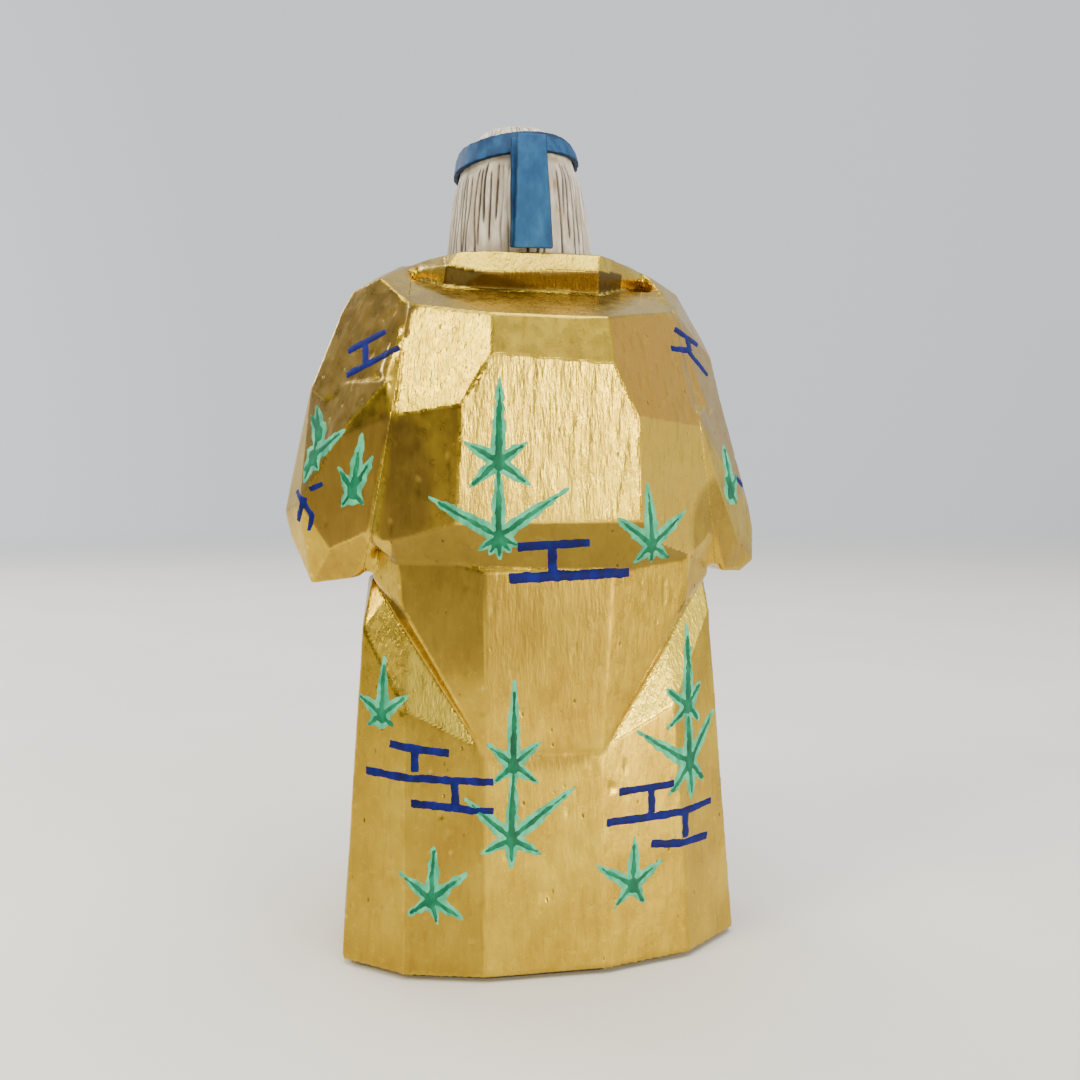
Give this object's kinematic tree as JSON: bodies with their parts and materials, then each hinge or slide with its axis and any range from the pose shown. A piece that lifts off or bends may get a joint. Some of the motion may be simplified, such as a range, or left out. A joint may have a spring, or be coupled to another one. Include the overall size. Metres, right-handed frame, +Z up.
{
  "type": "carved standing figurine",
  "caption": "Faceted wooden standing figure in a gold-leafed robe with wide sleeves, blue headband with hanging tails, painted pine sprigs and mist bars.",
  "frame": {"origin": "on the resting plane, below the middle of the foot", "axes": "+Z up along the figure, -Y the way the figure faces, +X to the figure's own left"},
  "size_m": [0.0742, 0.0498, 0.1289],
  "materials": {
    "robe_body": "gold leaf on carved wood",
    "left_sleeve": "gold leaf on carved wood",
    "right_sleeve": "gold leaf on carved wood",
    "left_sleeve_dowel_upper": "bare",
    "left_sleeve_dowel_lower": "bare",
    "right_sleeve_dowel_upper": "bare",
    "right_sleeve_dowel_lower": "bare",
    "head": "matt pigment on carved wood",
    "neck_peg": "bare",
    "headband": "matt blue pigment",
    "headband_tail_under": "matt blue pigment",
    "headband_tail_over": "matt blue pigment",
    "left_hand": "matt pigment",
    "right_hand": "matt pigment",
    "left_hand_peg": "bare",
    "right_hand_peg": "bare",
    "base_pad": "felt"
  },
  "bodies": {
    "root": {"robe_body": "robe_body", "left_sleeve": "left_sleeve", "right_sleeve": "right_sleeve", "left_sleeve_dowel_upper": "left_sleeve_dowel_upper", "left_sleeve_dowel_lower": "left_sleeve_dowel_lower", "right_sleeve_dowel_upper": "right_sleeve_dowel_upper", "right_sleeve_dowel_lower": "right_sleeve_dowel_lower", "head": "head", "neck_peg": "neck_peg", "headband": "headband", "headband_tail_under": "headband_tail_under", "headband_tail_over": "headband_tail_over", "left_hand": "left_hand", "right_hand": "right_hand", "left_hand_peg": "left_hand_peg", "right_hand_peg": "right_hand_peg", "base_pad": "base_pad"}
  },
  "joints": []
}
